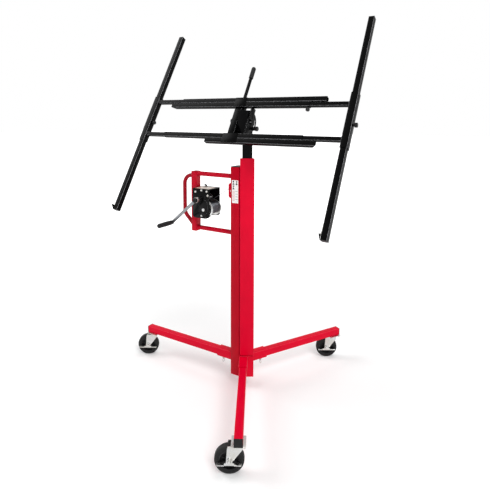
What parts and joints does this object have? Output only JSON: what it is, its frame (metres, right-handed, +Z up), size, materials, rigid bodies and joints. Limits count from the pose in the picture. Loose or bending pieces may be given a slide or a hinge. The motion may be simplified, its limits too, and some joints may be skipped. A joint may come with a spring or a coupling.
{
  "type": "drywall lift",
  "caption": "Wheeled tripod lift with a winch-raised telescoping mast and a tilting, extending cradle that carries plasterboard up to a wall or ceiling.",
  "frame": {"origin": "on the floor, where the three legs' centre lines cross under the mast", "axes": "+X along the cradle's rails away from the winch, +Y towards the cradle's raised side, +Z up"},
  "size_m": [1.3383, 1.1922, 1.9459],
  "materials": {
    "red_paint": "gloss powder coat",
    "dark_red_paint": "gloss powder coat",
    "black_paint": "satin powder coat",
    "zinc_steel": "bright zinc plate",
    "wire_rope": "galvanised wire rope",
    "wheel_rubber": "moulded rubber",
    "black_plastic": "moulded plastic"
  },
  "bodies": {
    "mast": {"mast_channel": "dark_red_paint", "mast_cap": "black_plastic", "foot_shoe": "red_paint", "leg_sockets": "red_paint", "winch_frame": "red_paint", "carry_handle": "dark_red_paint", "pulley_bracket": "red_paint", "winch_housing": "black_paint", "winch_bolts": "zinc_steel", "lift_rope": "wire_rope", "leg_left": "red_paint", "leg_right": "red_paint", "leg_front": "red_paint", "leg_fittings_left": "zinc_steel", "leg_fittings_right": "zinc_steel", "leg_fittings_front": "zinc_steel"},
    "bracket_pulley": {"bracket_pulley": "black_plastic"},
    "drum": {"winch_drum": "zinc_steel", "rope_wound": "wire_rope"},
    "crank": {"pinion_shaft": "zinc_steel", "crank_arm": "zinc_steel"},
    "crank_grip": {"crank_grip": "black_plastic"},
    "pawl": {"ratchet_pawl": "black_paint"},
    "stage_2": {"mast_stage_2": "red_paint", "carriage": "black_plastic", "guide_collar": "black_plastic", "stage_3_rope": "wire_rope"},
    "stage_2_pulley": {"stage_2_pulley": "black_plastic"},
    "stage_3": {"mast_stage_3": "black_paint", "stage_3_foot": "black_plastic", "tilt_yoke": "black_paint"},
    "cradle": {"tilt_pin": "black_paint", "tilt_quadrant": "black_paint", "upper_rails": "black_paint", "lower_rails": "black_paint", "cradle_spine": "black_paint"},
    "tilt_lever": {"tilt_lever": "black_paint"},
    "tilt_knob": {"tilt_knob": "black_plastic"},
    "outrigger_left": {"outrigger_left": "black_paint"},
    "outrigger_right": {"outrigger_right": "black_paint"},
    "arm_left": {"arm_left": "black_paint"},
    "arm_right": {"arm_right": "black_paint"},
    "hook_left": {"hook_left": "zinc_steel"},
    "hook_right": {"hook_right": "zinc_steel"},
    "knob_rail_left": {"knob_rail_left": "black_plastic"},
    "knob_rail_right": {"knob_rail_right": "black_plastic"},
    "knob_arm_left": {"knob_arm_left": "black_plastic"},
    "knob_arm_right": {"knob_arm_right": "black_plastic"},
    "caster_left": {"caster_fork_left": "zinc_steel"},
    "wheel_left": {"caster_wheel_left": "wheel_rubber"},
    "brake_left": {"brake_pedal_left": "zinc_steel"},
    "pin_left": {"leg_pin_left": "zinc_steel"},
    "caster_right": {"caster_fork_right": "zinc_steel"},
    "wheel_right": {"caster_wheel_right": "wheel_rubber"},
    "brake_right": {"brake_pedal_right": "zinc_steel"},
    "pin_right": {"leg_pin_right": "zinc_steel"},
    "caster_front": {"caster_fork_front": "zinc_steel"},
    "wheel_front": {"caster_wheel_front": "wheel_rubber"},
    "brake_front": {"brake_pedal_front": "zinc_steel"},
    "pin_front": {"leg_pin_front": "zinc_steel"}
  },
  "joints": [
    {"name": "mast_lift", "type": "slide", "parent": "mast", "child": "stage_2", "axis": [0, 0, 1], "range_m": [0, 0.95], "deforming": ["lift_rope"]},
    {"name": "stage_3_lift", "type": "slide", "parent": "stage_2", "child": "stage_3", "axis": [0, 0, 1], "range_m": [0, 0.95], "deforming": ["stage_3_rope"]},
    {"name": "drum_turn", "type": "hinge", "parent": "mast", "child": "drum", "pos_m": [-0.22, 0, 0.956], "axis": [0, -1, 0], "range_deg": [0, 1620]},
    {"name": "crank_turn", "type": "hinge", "parent": "mast", "child": "crank", "pos_m": [-0.2475, 0, 1.01045], "axis": [0, 1, 0], "range_deg": [0, 5930]},
    {"name": "bracket_pulley_turn", "type": "hinge", "parent": "mast", "child": "bracket_pulley", "pos_m": [-0.07, 0, 1.066], "axis": [0, -1, 0], "range_deg": [0, 2740]},
    {"name": "stage_2_pulley_turn", "type": "hinge", "parent": "stage_2", "child": "stage_2_pulley", "pos_m": [-0.0083, 0, 1.226], "axis": [0, -1, 0], "range_deg": [0, 6060]},
    {"name": "grip_turn", "type": "hinge", "parent": "crank", "child": "crank_grip", "pos_m": [-0.40971, -0.14, 0.8724], "axis": [0, 1, 0], "continuous": true},
    {"name": "pawl_tilt", "type": "hinge", "parent": "mast", "child": "pawl", "pos_m": [-0.277, 0.043, 1.046], "axis": [0, 1, 0], "range_deg": [0, 9]},
    {"name": "cradle_tilt", "type": "hinge", "parent": "stage_3", "child": "cradle", "pos_m": [0, 0, 1.43], "axis": [1, 0, 0], "range_deg": [-60, 5]},
    {"name": "lever_pull", "type": "hinge", "parent": "cradle", "child": "tilt_lever", "pos_m": [-0.052, 0.05712, 1.50094], "axis": [1, 0, 0], "range_deg": [-18, 0], "stiffness_Nm_per_rad": 2, "springref_deg": 20.05},
    {"name": "tilt_knob_turn", "type": "hinge", "parent": "stage_3", "child": "tilt_knob", "pos_m": [0.0404, 0.02, 1.393], "axis": [1, 0, 0], "range_deg": [0, 360]},
    {"name": "outrigger_left_slide", "type": "slide", "parent": "cradle", "child": "outrigger_left", "axis": [-1, 0, 0], "range_m": [-0.1, 0.17]},
    {"name": "outrigger_right_slide", "type": "slide", "parent": "cradle", "child": "outrigger_right", "axis": [1, 0, 0], "range_m": [-0.1, 0.15]},
    {"name": "arm_left_slide", "type": "slide", "parent": "outrigger_left", "child": "arm_left", "axis": [0, 0.5, 0.866], "range_m": [-0.12, 0.12]},
    {"name": "arm_right_slide", "type": "slide", "parent": "outrigger_right", "child": "arm_right", "axis": [0, 0.5, 0.866], "range_m": [-0.12, 0.12]},
    {"name": "hook_left_fold", "type": "hinge", "parent": "arm_left", "child": "hook_left", "pos_m": [-0.641, -0.27712, 0.97801], "axis": [1, 0, 0], "range_deg": [0, 90]},
    {"name": "hook_right_fold", "type": "hinge", "parent": "arm_right", "child": "hook_right", "pos_m": [0.549, -0.27712, 0.97801], "axis": [1, 0, 0], "range_deg": [0, 90]},
    {"name": "knob_rail_left_turn", "type": "hinge", "parent": "cradle", "child": "knob_rail_left", "pos_m": [-0.408, 0.05639, 1.52908], "axis": [0, 0.866, -0.5], "range_deg": [0, 360]},
    {"name": "knob_rail_right_turn", "type": "hinge", "parent": "cradle", "child": "knob_rail_right", "pos_m": [0.343, 0.02473, 1.50083], "axis": [0, -0.5, -0.866], "range_deg": [0, 360]},
    {"name": "knob_arm_left_turn", "type": "hinge", "parent": "outrigger_left", "child": "knob_arm_left", "pos_m": [-0.6077, -0.02262, 1.41881], "axis": [1, 0, 0], "range_deg": [0, 360]},
    {"name": "knob_arm_right_turn", "type": "hinge", "parent": "outrigger_right", "child": "knob_arm_right", "pos_m": [0.5823, -0.02262, 1.41881], "axis": [1, 0, 0], "range_deg": [0, 360]},
    {"name": "swivel_left", "type": "hinge", "parent": "mast", "child": "caster_left", "pos_m": [-0.644, 0, 0.13], "axis": [0, 0, 1], "continuous": true},
    {"name": "roll_left", "type": "hinge", "parent": "caster_left", "child": "wheel_left", "pos_m": [-0.67691, -0.019, 0.0625], "axis": [0.5, -0.866, 0], "continuous": true},
    {"name": "brake_left_rock", "type": "hinge", "parent": "caster_left", "child": "brake_left", "pos_m": [-0.67691, -0.019, 0.0625], "axis": [0.5, -0.866, 0], "range_deg": [-10, 10]},
    {"name": "pin_left_pull", "type": "slide", "parent": "mast", "child": "pin_left", "axis": [0, 0, -1], "range_m": [0, 0.014], "stiffness_N_per_m": 600, "springref_m": -0.01},
    {"name": "swivel_right", "type": "hinge", "parent": "mast", "child": "caster_right", "pos_m": [0.30832, 0.53403, 0.13], "axis": [0, 0, 1], "continuous": true},
    {"name": "roll_right", "type": "hinge", "parent": "caster_right", "child": "wheel_right", "pos_m": [0.27541, 0.51503, 0.0625], "axis": [0.5, -0.866, 0], "continuous": true},
    {"name": "brake_right_rock", "type": "hinge", "parent": "caster_right", "child": "brake_right", "pos_m": [0.27541, 0.51503, 0.0625], "axis": [0.5, -0.866, 0], "range_deg": [-10, 10]},
    {"name": "pin_right_pull", "type": "slide", "parent": "mast", "child": "pin_right", "axis": [0, 0, -1], "range_m": [0, 0.014], "stiffness_N_per_m": 600, "springref_m": -0.01},
    {"name": "swivel_front", "type": "hinge", "parent": "mast", "child": "caster_front", "pos_m": [0.30832, -0.53403, 0.13], "axis": [0, 0, 1], "continuous": true},
    {"name": "roll_front", "type": "hinge", "parent": "caster_front", "child": "wheel_front", "pos_m": [0.27541, -0.55303, 0.0625], "axis": [0.5, -0.866, 0], "continuous": true},
    {"name": "brake_front_rock", "type": "hinge", "parent": "caster_front", "child": "brake_front", "pos_m": [0.27541, -0.55303, 0.0625], "axis": [0.5, -0.866, 0], "range_deg": [-10, 10]},
    {"name": "pin_front_pull", "type": "slide", "parent": "mast", "child": "pin_front", "axis": [0, 0, -1], "range_m": [0, 0.014], "stiffness_N_per_m": 600, "springref_m": -0.01}
  ],
  "couplings": [
    {"joint": "stage_3_lift", "follows": "mast_lift", "ratio": 1},
    {"joint": "drum_turn", "follows": "mast_lift", "rad_per_m": 29.412},
    {"joint": "crank_turn", "follows": "mast_lift", "rad_per_m": 108.6},
    {"joint": "bracket_pulley_turn", "follows": "mast_lift", "rad_per_m": 50},
    {"joint": "stage_2_pulley_turn", "follows": "mast_lift", "rad_per_m": 111.11}
  ]
}
